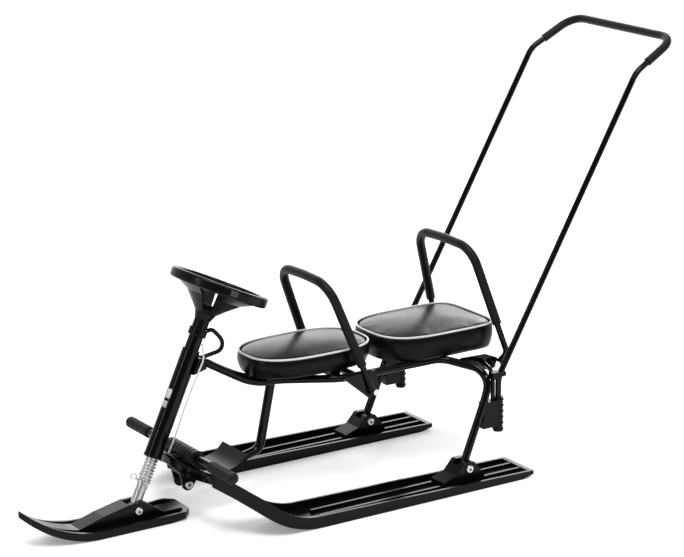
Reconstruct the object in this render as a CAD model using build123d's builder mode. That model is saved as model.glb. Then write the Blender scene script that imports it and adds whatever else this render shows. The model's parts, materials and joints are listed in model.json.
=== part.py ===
from build123d import *
import os
from math import cos, radians, sin, tan

# Two-seat sled stroller: a sprung front ski steered by a wheel, two fixed rear skis,
# a bent tube frame, two padded seats, two hoops and a push handle.
# +X is forward, +Y the rider's left, +Z up. The floor is Z = 0.

# ---------------------------------------------------------------- driving sizes (mm)
# rear skis
track_half = 200.0            # centre plane to the middle of a rear ski
ski_width = 110.0
ski_height = 27.0             # sole to the top of the walls at the nose end
ski_tail_height = 16.0        # the same at the tail
ski_wall = 6.0
ski_floor = 8.0
ski_tail_x = -355.0
ski_bend_x = 208.0            # where the nose starts to rise
ski_rib_height = 7.0          # lengthwise ribs on the deck
ski_rib_spread = 36.0         # distance between the two ribs
nose_rise = 92.0              # height of the nose's underside where it ends
nose_reach = 200.0            # length of the rising nose
nose_inward = 124.0           # how far the outer wall swings towards the middle
boss_x = -196.5
boss_bolt_z = 42.0
boss_top = 58.0
boss_front = 68.0             # boss length ahead of its bolt
boss_back = 42.0
boss_cheek = 13.0             # thickness of one cheek of the boss
leg_slot = 24.0               # gap between the two cheeks
bolt_radius = 4.0
bolt_head_radius = 9.5
bolt_head_height = 6.0

# front ski
pivot_x = 532.5               # lateral bolt of the front ski
pivot_z = 33.2
front_ski_tail_x = 414.0
front_ski_tip_x = 804.0
front_ski_bend_x = 636.0
front_ski_width = 102.0
front_ski_wall = 17.0         # height of the side wall
front_ski_deck = 11.0         # height of the deck between wall and spine
front_ski_tip_z = 72.0        # underside of the tip
front_ski_edge = 6.0          # thickness of the side wall
spine_half = 22.0
spine_top = 52.0

# steering, distances along the steering axis from the ski bolt
rake = 24.7                   # steering axis, degrees behind the vertical
strut_radius = 12.0
head_radius = 19.5
neck_radius = 16.0
head_low = 122.0
head_top = 366.0
neck_top = 396.0
collar_top = 415.0
wheel_level = 512.0
hub_low = 78.0                # hub end below the wheel's middle plane
bearing_radius = 20.5
bearing_lip = 4.0
column_radius = 17.0
wheel_radius = 110.0          # outside of the rim
wheel_back = 12.0             # rim centre behind the steering axis
rim_height = 23.0
rim_thickness = 15.0
wheel_wall = 6.0
spoke_gap = 28.0              # opening angle of each window
spring_radius = 15.8
spring_wire = 3.2
spring_low = 64.0
spring_turns = 7
washer = 4.0
pin_radius = 1.5
ring_radius = 5.0

# frame
tube_radius = 9.0
strut_tube = 10.5             # radius of the front strut
backbone_half = 20.0          # centre plane to a backbone tube at the front
backbone_z = 264.0
backbone_wide = 90.0          # centre plane to a backbone tube under the rear seat
leg_x = -257.0                # leg tube at its upper end
leg_y = 196.0
leg_z = 180.0
bracket_x = 358.0             # rear face of the head bracket
bracket_z = 334.0
bracket_height = 30.0
bracket_width = 52.0
hoop_tube = 7.0
hoop_sleeve = 10.5
hoop_front_half = 100.5
hoop_front_z = 484.0
hoop_front_foot_half = 124.5
hoop_rear_half = 105.0
hoop_rear_z = 512.0
hoop_rear_foot_half = 132.0
hoop_arch = 4.0               # rise of a hoop's crossbar in the middle
hoop_bend = 52.0
plate_thickness = 5.0

# foot bar, bow and keel
bar_x = 413.7
bar_z = 143.7
bar_half = 231.0
bar_radius = 9.0
grip_radius = 13.0
grip_length = 95.0
foot_pad_radius = 17.5
foot_pad_left = 74.0
foot_pad_right = 40.0
foot_roll_drop = 29.0         # lower roll below the foot bar
foot_roll_radius = 12.0
yoke_height = 24.0
yoke_thickness = 14.0
yoke_apex_x = 445.0
yoke_apex_z = 130.0
yoke_drop = 19.5              # the yoke's ends below its apex
keel_low = 80.0               # height of the keel tube's lowest run
shield_half = 53.0
shield_thickness = 5.0
ear_x = 407.0
ear_z = 68.0
ear_half = 18.0
ear_thickness = 5.0
ear_radius = 14.0

# push handle
handle_half = 194.9
handle_tube = 7.0
grip_tube = 9.5
socket_x = -298.0
socket_low = 105.0
socket_top = 186.0
socket_radius = 11.0
handle_bend_z = 231.0
handle_rake = 30.1
handle_knee_z = 884.0
grip_z = 948.5
grip_half = 184.3
clamp_z = 237.0
stay_gap = 12.5               # the stay stands this far ahead of the handle tube
stay_tube = 5.0

# seats
seat_top_z = 328.0            # height of the piping
pad_crown = 22.0
seat_front_bottom = 284.0
seat_rear_bottom = 273.2
seat_front_nose_x = 247.0
seat_front_tail_x = -55.0
seat_front_half = 96.0
seat_rear_nose_x = -74.0
seat_rear_tail_x = -368.0
seat_rear_nose_half = 103.0
seat_rear_tail_half = 113.0
board = 12.0
seat_gap = 0.3                # soft pads clear their boards by this much

running = 0.1                 # radial clearance of a turning shaft
rope_radius = 2.0
hook_rod = 4.0

axis_x = -sin(radians(rake))
axis_z = cos(radians(rake))
ski_inner = track_half - ski_width / 2
ski_outer = track_half + ski_width / 2


def on_axis(distance, out=0.0, side=0.0):
    """A point on the steering axis, moved out in front of it and to the side."""
    x = pivot_x + distance * axis_x + out * axis_z
    z = pivot_z + distance * axis_z - out * axis_x
    return Vector(x, side, z)


def axis_plane(distance, back=0.0):
    """A plane square to the steering axis, its X direction pointing to the left."""
    return Plane(origin=on_axis(distance, -back), x_dir=(0, 1, 0), z_dir=(axis_x, 0, axis_z))


def cross_plane(x, y, z):
    """A plane that faces the left side at a point."""
    return Plane(origin=(x, y, z), z_dir=(0, 1, 0))


def side_plane(y):
    """A side view: its X runs forward and its Y runs up."""
    return Plane(origin=(0, y, 0), x_dir=(1, 0, 0), z_dir=(0, -1, 0))


def round_bar(points, radii, radius):
    """A round bar along straight runs joined by tangent arcs."""
    with BuildLine() as route:
        FilletPolyline(*points, radius=radii)
    with BuildSketch(Plane(origin=route.line @ 0, z_dir=route.line % 0)) as section:
        Circle(radius)
    return sweep(section.sketch, path=route.line)


def mirrored(points):
    """The same route on the right-hand side."""
    return [(x, -y, z) for x, y, z in points]


def both_sides(points):
    """A route up the left side, across, and down the right side."""
    return points + mirrored(points[::-1])


def between(low, high, z):
    """The point at height z on the run from low to high."""
    share = (z - low[2]) / (high[2] - low[2])
    return tuple(a + share * (b - a) for a, b in zip(low, high))


def headed_bolt(x, y, z, reach):
    """A bolt across the sled: a shank and two domed heads, for the open builder."""
    with BuildSketch(cross_plane(x, y, z)) as shank:
        Circle(bolt_radius)
    extrude(shank.sketch, amount=reach, both=True)
    for end in (1, -1):
        with BuildSketch(Plane(origin=(x, y + end * reach, z), z_dir=(0, end, 0))) as bolt_head:
            Circle(bolt_head_radius)
        extrude(bolt_head.sketch, amount=bolt_head_height)


def finish(builder, label):
    """Name a finished piece and write its file."""
    builder.part.label = label
    export_step(builder.part, f"parts/{label}.step")


os.makedirs("parts", exist_ok=True)

# ---------------------------------------------------------------- foot bar and its grips
with BuildPart() as foot_bar:
    with BuildSketch(Plane.XZ):
        with Locations((bar_x, bar_z)):
            Circle(bar_radius)
    extrude(amount=bar_half - 3, both=True)
finish(foot_bar, "foot_bar")

foot_grips = []
for side, hand in (("left", 1), ("right", -1)):
    with BuildPart() as grip:
        with BuildSketch(Plane(origin=(bar_x, hand * bar_half, bar_z), z_dir=(0, -hand, 0))):
            Circle(grip_radius)
        extrude(amount=grip_length)
        outer_end = grip.faces().sort_by(Axis.Y)[-1 if hand > 0 else 0]
        fillet(outer_end.edges(), radius=5)
        add(foot_bar.part, mode=Mode.SUBTRACT)
    finish(grip, f"foot_grip_{side}")
    foot_grips.append(grip)

# ---------------------------------------------------------------- front yoke
nose_end_x = ski_bend_x + nose_reach
yoke_joint = (nose_end_x - 3.5, ski_outer - nose_inward - 3, yoke_apex_z - yoke_drop)
yoke_rise = yoke_apex_x - yoke_joint[0]
yoke_shares = ((0.23, 0.83, 0.08), (0.43, 0.67, 0.16), (0.6, 0.53, 0.29), (0.77, 0.39, 0.47), (0.93, 0.2, 0.8))
yoke_side = [yoke_joint] + [
    (yoke_joint[0] + a * yoke_rise, b * yoke_joint[1], yoke_joint[2] + c * yoke_drop) for a, b, c in yoke_shares
]
with BuildPart() as yoke:
    with BuildLine() as route:
        Spline(*yoke_side, (yoke_apex_x, 0, yoke_apex_z), *mirrored(yoke_side[::-1]))
    with BuildSketch(Plane(origin=route.line @ 0, x_dir=(0, 0, 1), z_dir=route.line % 0)) as section:
        RectangleRounded(yoke_height, yoke_thickness, 5)
    sweep(path=route.line)
    # a tongue at each end goes into the nose of a rear ski
    for hand, start, along in ((1, route.line @ 0, route.line % 0), (-1, route.line @ 1, route.line % 1)):
        with BuildSketch(Plane(origin=start, x_dir=(0, 0, 1), z_dir=along * -hand)):
            Rectangle(yoke_height - 8, yoke_thickness - 7)
        extrude(amount=24)
finish(yoke, "front_yoke")

# ---------------------------------------------------------------- rear skis
skis = []
for side, hand in (("left", 1), ("right", -1)):
    with BuildPart() as ski:
        # side view: flat sole with a lifted tail, and a nose that curves up
        with BuildSketch(side_plane(hand * track_half)) as profile:
            with BuildLine():
                sole = Line((ski_tail_x + 30, 0), (ski_bend_x, 0))
                under = TangentArc(sole @ 1, (ski_bend_x + 0.7 * nose_reach, 0.55 * nose_rise), tangent=(1, 0))
                lift = TangentArc(under @ 1, (nose_end_x + 14, nose_rise + 10), tangent=under % 1)
                face = Line(lift @ 1, (nose_end_x + 14, nose_rise + 41))
                over = TangentArc(
                    (ski_bend_x + 6, ski_height), (ski_bend_x + 0.55 * nose_reach, 0.7 * nose_rise), tangent=(1, 0)
                )
                crest = TangentArc(over @ 1, face @ 1, tangent=over % 1)
                deck = Line(over @ 0, (ski_tail_x, ski_tail_height))
                tail = Line(deck @ 1, (ski_tail_x, ski_tail_height - 9))
                Line(tail @ 1, sole @ 0)
            make_face()
        extrude(amount=ski_width, both=True)
        # plan view: the outer wall swings in towards the front yoke
        with BuildSketch(Plane.XY.offset(-5)) as plan:
            with BuildLine():
                inner = Line((nose_end_x - 26, hand * ski_inner), (ski_tail_x, hand * ski_inner))
                stern = Line(inner @ 1, (ski_tail_x, hand * ski_outer))
                flank = Line(stern @ 1, (ski_bend_x + 76, hand * ski_outer))
                swing = Spline(
                    flank @ 1,
                    (ski_bend_x + 140, hand * (ski_outer - 0.18 * nose_inward)),
                    (ski_bend_x + 180, hand * (ski_outer - 0.6 * nose_inward)),
                    (nose_end_x + 3, hand * (ski_outer - nose_inward)),
                    tangents=((1, 0), (0.38, -0.92 * hand)),
                )
                stem = Line(swing @ 1, (nose_end_x - 10, hand * (ski_outer - nose_inward - 6)))
                Line(stem @ 1, inner @ 0)
            make_face()
        extrude(amount=nose_rise + 80, mode=Mode.INTERSECT)
        # the hollow between the walls follows the side view
        with BuildSketch(side_plane(hand * track_half), mode=Mode.PRIVATE) as hollow_side:
            with BuildLine():
                low = Line((ski_tail_x + 12, ski_floor), (ski_bend_x, ski_floor))
                ramp = TangentArc(
                    low @ 1, (ski_bend_x + 0.68 * nose_reach, ski_floor + 0.55 * nose_rise), tangent=(1, 0)
                )
                top = TangentArc(ramp @ 1, (nose_end_x + 30, nose_rise + 30), tangent=ramp % 1)
                Polyline(top @ 1, (nose_end_x + 30, nose_rise + 90), (ski_tail_x + 12, nose_rise + 90), low @ 0)
            make_face()
        with BuildSketch(Plane.XY, mode=Mode.PRIVATE) as hollow_plan:
            with BuildLine():
                inner = Line((nose_end_x - 36, hand * (ski_inner + ski_wall)), (ski_tail_x + 12, hand * (ski_inner + ski_wall)))
                stern = Line(inner @ 1, (ski_tail_x + 12, hand * (ski_outer - ski_wall)))
                flank = Line(stern @ 1, (ski_bend_x + 74, hand * (ski_outer - ski_wall)))
                swing = Spline(
                    flank @ 1,
                    (ski_bend_x + 136, hand * (ski_outer - ski_wall - 0.18 * nose_inward)),
                    (ski_bend_x + 172, hand * (ski_outer - ski_wall - 0.6 * nose_inward)),
                    tangents=((1, 0), (0.55, -0.83 * hand)),
                )
                Line(swing @ 1, inner @ 0)
            make_face()
        hollow = extrude(hollow_side.sketch, amount=ski_width, both=True, mode=Mode.PRIVATE)
        shaft = extrude(hollow_plan.sketch, amount=nose_rise + 80, mode=Mode.PRIVATE)
        add(hollow & shaft, mode=Mode.SUBTRACT)
        # two ribs along the deck
        with BuildSketch(Plane.XY.offset(ski_floor - 1)):
            with Locations(((ski_tail_x + ski_bend_x) / 2, hand * track_half)):
                with GridLocations(0, ski_rib_spread, 1, 2):
                    Rectangle(ski_bend_x - ski_tail_x - 24, ski_wall)
        extrude(amount=ski_rib_height + 1)
        # boss: two cheeks that take the leg tube and its bolt
        with BuildSketch(side_plane(hand * track_half)) as cheek:
            with BuildLine():
                Polyline(
                    (boss_x + boss_front, ski_floor - 2),
                    (boss_x - boss_back, ski_floor - 2),
                    (boss_x - boss_back, ski_tail_height + 5),
                    (boss_x - 14, boss_top),
                    (boss_x + 12, boss_top),
                    (boss_x + 34, ski_height + 6),
                    (boss_x + boss_front, ski_tail_height + 5),
                    close=True,
                )
            make_face()
            fillet(cheek.vertices().group_by(Axis.Y)[-1], radius=10)
        extrude(amount=leg_slot / 2 + boss_cheek, both=True)
        with BuildSketch(side_plane(hand * track_half)):
            with Locations((boss_x - 4, boss_top)):
                Rectangle(46, 2 * (boss_top - ski_height + 3))
        extrude(amount=leg_slot / 2, both=True, mode=Mode.SUBTRACT)
        with Locations(cross_plane(boss_x, hand * track_half, boss_bolt_z)):
            Cylinder(bolt_radius, ski_width, mode=Mode.SUBTRACT)
        # the nose is socketed over the end of the yoke and carries the foot bar
        add(yoke.part, mode=Mode.SUBTRACT)
        add(foot_bar.part, mode=Mode.SUBTRACT)
        for piece in foot_grips:
            add(piece.part, mode=Mode.SUBTRACT)
        for solid in ski.solids().sort_by(SortBy.VOLUME)[:-1]:
            add(solid, mode=Mode.SUBTRACT)
    finish(ski, f"rear_ski_{side}")
    skis.append(ski)

    with BuildPart() as bolt:
        headed_bolt(boss_x, hand * track_half, boss_bolt_z, leg_slot / 2 + boss_cheek)
        fillet(bolt.faces().sort_by(Axis.Y)[0].edges(), radius=3)
        fillet(bolt.faces().sort_by(Axis.Y)[-1].edges(), radius=3)
    finish(bolt, f"ski_bolt_{side}")

# ---------------------------------------------------------------- front ski
half = front_ski_width / 2
with BuildPart() as front_ski:
    # side view of the plate, curved up to the tip; both ends run past the plan view
    with BuildSketch(side_plane(0)) as profile:
        with BuildLine():
            sole = Line((front_ski_tail_x - 10, 7), (front_ski_tail_x + 52, 0))
            flat = Line(sole @ 1, (front_ski_bend_x, 0))
            under = TangentArc(flat @ 1, (front_ski_tip_x + 8, front_ski_tip_z + 6), tangent=(1, 0))
            tip = Line(under @ 1, (front_ski_tip_x + 4, front_ski_tip_z + 17))
            over = TangentArc((front_ski_bend_x - 6, front_ski_wall), tip @ 1, tangent=(1, 0))
            deck = Line(over @ 0, (front_ski_tail_x - 10, front_ski_wall + 3))
            Line(deck @ 1, sole @ 0)
        make_face()
    extrude(amount=half, both=True)
    # plan view: pointed round nose and a squarish tail
    with BuildSketch(Plane.XY.offset(-5)) as plan:
        with BuildLine():
            left = Line((front_ski_tail_x, half - 18.5), (front_ski_tail_x + 18, half - 0.5))
            flank = Line(left @ 1, (front_ski_bend_x, half - 0.5))
            nose = Spline(
                flank @ 1,
                (front_ski_bend_x + 84, half - 11),
                (front_ski_bend_x + 142, half - 31),
                (front_ski_tip_x, 0),
                (front_ski_bend_x + 142, 31 - half),
                (front_ski_bend_x + 84, 11 - half),
                (front_ski_bend_x, 0.5 - half),
                tangents=((1, 0), (-1, 0)),
            )
            flank_right = Line(nose @ 1, (front_ski_tail_x + 18, 0.5 - half))
            right = Line(flank_right @ 1, (front_ski_tail_x, 18.5 - half))
            Line(right @ 1, left @ 0)
        make_face()
    extrude(amount=150, mode=Mode.INTERSECT)
    # shallow hollows on both sides of the spine, inside the edge
    with BuildSketch(side_plane(0), mode=Mode.PRIVATE) as hollow_side:
        with BuildLine():
            low = Line((front_ski_tail_x + 14, front_ski_deck), (front_ski_bend_x, front_ski_deck))
            ramp = TangentArc(low @ 1, (front_ski_tip_x, front_ski_tip_z + 9), tangent=(1, 0))
            Polyline(ramp @ 1, (front_ski_tip_x, 150), (front_ski_tail_x + 14, 150), low @ 0)
        make_face()
    with BuildSketch(Plane.XY, mode=Mode.PRIVATE) as hollow_plan:
        with BuildLine():
            Polyline(
                (front_ski_tail_x + 14, spine_half),
                (front_ski_tail_x + 14, half - 20),
                (front_ski_tail_x + 26, half - front_ski_edge),
                (front_ski_bend_x + 10, half - front_ski_edge),
                (front_ski_bend_x + 84, half - 12 - front_ski_edge),
                (front_ski_bend_x + 116, spine_half + 2),
                (front_ski_bend_x + 110, spine_half),
                close=True,
            )
        make_face()
        mirror(about=Plane.XZ)
    hollow = extrude(hollow_side.sketch, amount=half, both=True, mode=Mode.PRIVATE)
    shaft = extrude(hollow_plan.sketch, amount=140, mode=Mode.PRIVATE)
    add(hollow & shaft, mode=Mode.SUBTRACT)
    # raised spine that runs up to the bolt and down again behind it
    with BuildSketch(side_plane(0)) as spine:
        with BuildLine():
            Polyline(
                (pivot_x - 64, front_ski_deck - 3),
                (pivot_x - 64, front_ski_wall),
                (pivot_x - 14, spine_top),
                (pivot_x + 18, spine_top),
                (pivot_x + 84, 38),
                (front_ski_bend_x + 38, front_ski_wall + 4),
                (front_ski_bend_x + 38, front_ski_deck - 3),
                close=True,
            )
        make_face()
        fillet(spine.vertices().group_by(Axis.Y)[-1], radius=8)
    extrude(amount=spine_half, both=True)
    # slot for the strut, with room for the ski to rock
    with BuildSketch(side_plane(0)):
        with Locations((pivot_x - 11, pivot_z + 16)):
            Rectangle(66, 68)
    extrude(amount=strut_radius + 1.5, both=True, mode=Mode.SUBTRACT)
    with Locations(cross_plane(pivot_x, 0, pivot_z)):
        Cylinder(bolt_radius, front_ski_width, mode=Mode.SUBTRACT)
finish(front_ski, "front_ski")

with BuildPart() as front_bolt:
    headed_bolt(pivot_x, 0, pivot_z, spine_half)
    fillet(front_bolt.faces().sort_by(Axis.Y)[0].edges(), radius=3)
    fillet(front_bolt.faces().sort_by(Axis.Y)[-1].edges(), radius=3)
finish(front_bolt, "front_ski_bolt")

# ---------------------------------------------------------------- steering
hub_start = wheel_level - hub_low
pin_level = spring_low - washer - pin_radius
with BuildPart() as strut:
    # one zinc bar from the ski bolt up through the head tube
    with BuildSketch(axis_plane(0)):
        Circle(strut_radius)
    extrude(amount=hub_start + 20)
    with Locations(cross_plane(pivot_x, 0, pivot_z)):
        Cylinder(strut_radius, 2 * strut_radius)
    with Locations(cross_plane(pivot_x, 0, pivot_z)):
        Cylinder(bolt_radius + running, 60, mode=Mode.SUBTRACT)
    with Locations(Plane(origin=on_axis(pin_level), z_dir=(0, 1, 0))):
        Cylinder(pin_radius, 60, mode=Mode.SUBTRACT)
finish(strut, "steering_strut")

spring_length = head_low - washer - spring_low - 0.2
with BuildPart() as spring:
    with BuildLine() as coil:
        Helix(
            pitch=(spring_length - spring_wire) / spring_turns,
            height=spring_length - spring_wire,
            radius=spring_radius - spring_wire / 2,
            center=on_axis(spring_low + 0.1 + spring_wire / 2),
            direction=(axis_x, 0, axis_z),
        )
    with BuildSketch(Plane(origin=coil.line @ 0, z_dir=coil.line % 0)):
        Circle(spring_wire / 2)
    sweep(path=coil.line)
finish(spring, "front_spring")

with BuildPart() as seat_ring:
    with BuildSketch(axis_plane(spring_low - washer)):
        Circle(spring_radius)
        Circle(strut_radius, mode=Mode.SUBTRACT)
    extrude(amount=washer)
finish(seat_ring, "spring_washer")

with BuildPart() as pin:
    # cross pin through the strut, with a pull ring on its left end
    with BuildSketch(Plane(origin=on_axis(pin_level), z_dir=(0, 1, 0))):
        Circle(pin_radius)
    extrude(amount=strut_radius + 5, both=True)
    with Locations(Plane(origin=on_axis(pin_level + ring_radius, 0, strut_radius + 5), z_dir=(0, 1, 0))):
        Torus(ring_radius, 1)
finish(pin, "ring_pin")

with BuildPart() as column:
    # sleeve on top of the strut that carries the wheel
    with BuildSketch(axis_plane(collar_top + 0.4)):
        Circle(column_radius)
        Circle(strut_radius, mode=Mode.SUBTRACT)
    extrude(amount=hub_start + 6 - collar_top)
finish(column, "steering_column")

rim_inner = wheel_radius - rim_thickness
wheel_axis = Axis(on_axis(0, -wheel_back), (axis_x, 0, axis_z))
with BuildPart() as wheel:
    # funnel between the hub and the rim, its mouth set back from the steering axis
    funnel = ((0, 18, 0), (16, 24, 0.15), (28, 36, 0.35), (53, 62, 0.7), (70, rim_inner + 3, 1))
    for level, radius, share in funnel:
        with BuildSketch(axis_plane(hub_start + level, share * wheel_back)):
            Circle(radius)
    loft(ruled=True)
    for level, radius, share in funnel[1:]:
        with BuildSketch(axis_plane(hub_start + level + wheel_wall, share * wheel_back)):
            Circle(radius - 3)
    loft(ruled=True, mode=Mode.SUBTRACT)
    # four narrow windows leave four broad spokes
    for turn in (45, 135, 225, 315):
        with BuildSketch(axis_plane(hub_start + 24, wheel_back)):
            with BuildLine():
                outer = CenterArc((0, 0), rim_inner, turn - spoke_gap / 2, spoke_gap)
                Line((0, 0), outer @ 0)
                Line(outer @ 1, (0, 0))
            make_face()
        extrude(amount=60, mode=Mode.SUBTRACT)
    with BuildSketch(axis_plane(hub_start + 16)):
        Circle(22)
    extrude(amount=18)
    # rim
    with BuildSketch(Plane(origin=on_axis(wheel_level, -wheel_back), x_dir=(axis_z, 0, -axis_x), z_dir=(0, -1, 0))):
        with Locations((wheel_radius - rim_thickness / 2, 0)):
            RectangleRounded(rim_thickness, rim_height, 5.5)
    revolve(axis=wheel_axis)
    add(column.part, mode=Mode.SUBTRACT)
    add(strut.part, mode=Mode.SUBTRACT)
finish(wheel, "steering_wheel")

# ---------------------------------------------------------------- head tube
with BuildPart() as head:
    with BuildSketch(axis_plane(head_low)):
        Circle(head_radius)
    extrude(amount=head_top - head_low)
    with BuildSketch(axis_plane(head_top)):
        Circle(neck_radius)
    extrude(amount=neck_top - head_top)
    with BuildSketch(axis_plane(head_low)):
        Circle(strut_radius + running)
    extrude(amount=neck_top - head_low, mode=Mode.SUBTRACT)
finish(head, "head_tube")

with BuildPart() as lower_bearing:
    with BuildSketch(axis_plane(head_low - bearing_lip)):
        Circle(bearing_radius)
        Circle(strut_radius + running, mode=Mode.SUBTRACT)
    extrude(amount=bearing_lip)
finish(lower_bearing, "lower_bearing")

with BuildPart() as upper_bearing:
    with BuildSketch(axis_plane(neck_top)):
        Circle(bearing_radius)
        Circle(strut_radius + running, mode=Mode.SUBTRACT)
    extrude(amount=collar_top - neck_top)
    fillet(upper_bearing.edges().filter_by(GeomType.CIRCLE).group_by(SortBy.RADIUS)[-1], radius=3)
finish(upper_bearing, "upper_bearing")

# ---------------------------------------------------------------- backbone and legs
bracket_low = bracket_z - bracket_height / 2
bracket_top = bracket_z + bracket_height / 2
with BuildPart() as bracket:
    with BuildSketch(side_plane(0)):
        with BuildLine():
            Polyline(
                (bracket_x, bracket_low + 4),
                (bracket_x, bracket_top - 6),
                (bracket_x + 12, bracket_top),
                (bracket_x + 48, bracket_top),
                (bracket_x + 48, bracket_low - 8),
                close=True,
            )
        make_face()
    extrude(amount=bracket_width / 2, both=True)
    with BuildSketch(axis_plane(head_low)):
        Circle(head_radius)
    extrude(amount=neck_top - head_low, mode=Mode.SUBTRACT)
    for solid in bracket.solids().sort_by(Axis.X)[1:]:
        add(solid, mode=Mode.SUBTRACT)
finish(bracket, "head_bracket")

frame_route = [
    (bracket_x + 8, backbone_half, bracket_z + 8),
    (bracket_x - 122, backbone_half, backbone_z + 2),
    (bracket_x - 186, backbone_half, backbone_z),
    (48.5, backbone_wide, backbone_z - 1),
    (-215, backbone_wide, backbone_z - 1),
    (leg_x - 26, leg_y - 6, leg_z + 65),
    (leg_x, leg_y, leg_z),
    (boss_x - 1, track_half, boss_bolt_z),
]
frame_radii = [165, 60, 110, 44, 46, 60]
backbones = []
for side, hand in (("left", 1), ("right", -1)):
    with BuildPart() as backbone:
        round_bar([(x, hand * y, z) for x, y, z in frame_route], frame_radii, tube_radius)
        add(bracket.part, mode=Mode.SUBTRACT)
        for solid in backbone.solids().sort_by(SortBy.VOLUME)[:-1]:
            add(solid, mode=Mode.SUBTRACT)
        with Locations(cross_plane(boss_x, hand * track_half, boss_bolt_z)):
            Cylinder(11, 2 * tube_radius)
            Cylinder(bolt_radius, 60, mode=Mode.SUBTRACT)
    finish(backbone, f"backbone_{side}")
    backbones.append(backbone)

# ---------------------------------------------------------------- front strut and tow bracket
keel_bend_x = 214.0
with BuildPart() as front_strut:
    round_bar(
        [
            (keel_bend_x - 64, 0, backbone_z + 4),
            (keel_bend_x - 33, 0, backbone_z - 6),
            (keel_bend_x, 0, keel_low + 25),
            (keel_bend_x + 120, 0, keel_low),
            (yoke_apex_x - 4, 0, yoke_apex_z - 14),
        ],
        [12, 26, 110],
        strut_tube,
    )
    for piece in (backbones[0], backbones[1], yoke):
        add(piece.part, mode=Mode.SUBTRACT)
    for solid in front_strut.solids().sort_by(SortBy.VOLUME)[:-1]:
        add(solid, mode=Mode.SUBTRACT)
finish(front_strut, "front_strut")

with BuildPart() as shield:
    # curved plate on the keel, its rear edge turned up behind the foot bar
    with BuildSketch(side_plane(0)) as curve:
        with BuildLine():
            lip = Line((bar_x - 141, bar_z - 32), (bar_x - 137, bar_z - 23))
            front = Spline(
                lip @ 1,
                (bar_x - 115, bar_z - 42),
                (bar_x - 78, bar_z - 51),
                (bar_x - 4, bar_z - 46),
                tangents=((0.7, -0.7), (1, 0.2)),
            )
            edge = Line(front @ 1, (bar_x - 4, bar_z - 46 - shield_thickness))
            back = Spline(
                edge @ 1,
                (bar_x - 79, bar_z - 51 - shield_thickness),
                (bar_x - 119, bar_z - 42 - shield_thickness),
                lip @ 0,
                tangents=((-1, -0.2), (-0.7, 0.7)),
            )
        make_face()
    extrude(amount=shield_half, both=True)
    add(front_strut.part, mode=Mode.SUBTRACT)
    for solid in shield.solids().sort_by(SortBy.VOLUME)[:-1]:
        add(solid, mode=Mode.SUBTRACT)
finish(shield, "keel_shield")

with BuildPart() as tow_bracket:
    for hand in (1, -1):
        with BuildSketch(side_plane(hand * ear_half)) as ear:
            with BuildLine():
                Polyline(
                    (ear_x - 28, ear_z + 18),
                    (ear_x + 22, ear_z + 34),
                    (ear_x + 12, ear_z - 6),
                    (ear_x - 12, ear_z - 6),
                    close=True,
                )
            make_face()
            with Locations((ear_x, ear_z)):
                Circle(ear_radius)
        extrude(amount=ear_thickness / 2, both=True)
    with BuildSketch(side_plane(0)):
        with BuildLine():
            Polyline(
                (ear_x - 26, ear_z + 12),
                (ear_x - 26, ear_z + 18),
                (ear_x + 20, ear_z + 32),
                (ear_x + 20, ear_z + 26),
                close=True,
            )
        make_face()
    extrude(amount=ear_half, both=True)
    for piece in (front_strut, shield, yoke):
        add(piece.part, mode=Mode.SUBTRACT)
    for solid in tow_bracket.solids().sort_by(SortBy.VOLUME)[:-1]:
        add(solid, mode=Mode.SUBTRACT)
    with Locations(cross_plane(ear_x, 0, ear_z)):
        Cylinder(bolt_radius, 80, mode=Mode.SUBTRACT)
finish(tow_bracket, "tow_bracket")

with BuildPart() as tow_bolt:
    headed_bolt(ear_x, 0, ear_z, ear_half + ear_thickness / 2)
    fillet(tow_bolt.faces().sort_by(Axis.Y)[0].edges(), radius=3)
    fillet(tow_bolt.faces().sort_by(Axis.Y)[-1].edges(), radius=3)
finish(tow_bolt, "tow_bolt")

pad_length = foot_pad_left + foot_pad_right
with BuildPart() as foot_pad:
    # ribbed roll round the bar, a second one below it and a web between them
    with BuildSketch(side_plane(foot_pad_left)):
        with Locations((bar_x, bar_z)):
            Circle(foot_pad_radius)
        with Locations((bar_x, bar_z - foot_roll_drop)):
            Circle(foot_roll_radius)
        with Locations((bar_x - 1, bar_z - foot_roll_drop / 2)):
            Rectangle(12, foot_roll_drop)
    extrude(amount=pad_length)
    for step in range(1, 9):
        with BuildSketch(side_plane(foot_pad_left - step * pad_length / 9 + 1.5)):
            with Locations((bar_x, bar_z)):
                Circle(foot_pad_radius + 1)
                Circle(foot_pad_radius - 1.6, mode=Mode.SUBTRACT)
        extrude(amount=3, mode=Mode.SUBTRACT)
    for piece in (foot_bar, yoke, front_strut, shield):
        add(piece.part, mode=Mode.SUBTRACT)
    for solid in foot_pad.solids().sort_by(SortBy.VOLUME)[:-1]:
        add(solid, mode=Mode.SUBTRACT)
finish(foot_pad, "foot_pad")

# ---------------------------------------------------------------- rope and its hook
with BuildPart() as hook:
    hook_x = bracket_x - 48
    round_bar([on_axis(collar_top - 8, -14), (hook_x, 0, bracket_z + 31), (bracket_x + 3, 0, bracket_z + 4)], [16], hook_rod)
    add(upper_bearing.part, mode=Mode.SUBTRACT)
    add(bracket.part, mode=Mode.SUBTRACT)
    with BuildSketch(axis_plane(neck_top - 10)):
        Circle(neck_radius + 2)
    extrude(amount=60, mode=Mode.SUBTRACT)
finish(hook, "rope_hook")

rope_points = [
    tuple(on_axis(neck_top - 12, -12.6, 12.6)),
    (365, 31, 352),
    (377, 30, 328),
    (400, 28, 280),
    (419, 25, 235),
    (434, 14, 178),
    (yoke_apex_x + 1, 6, yoke_apex_z + yoke_height / 2 + rope_radius + 0.4),
]


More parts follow.
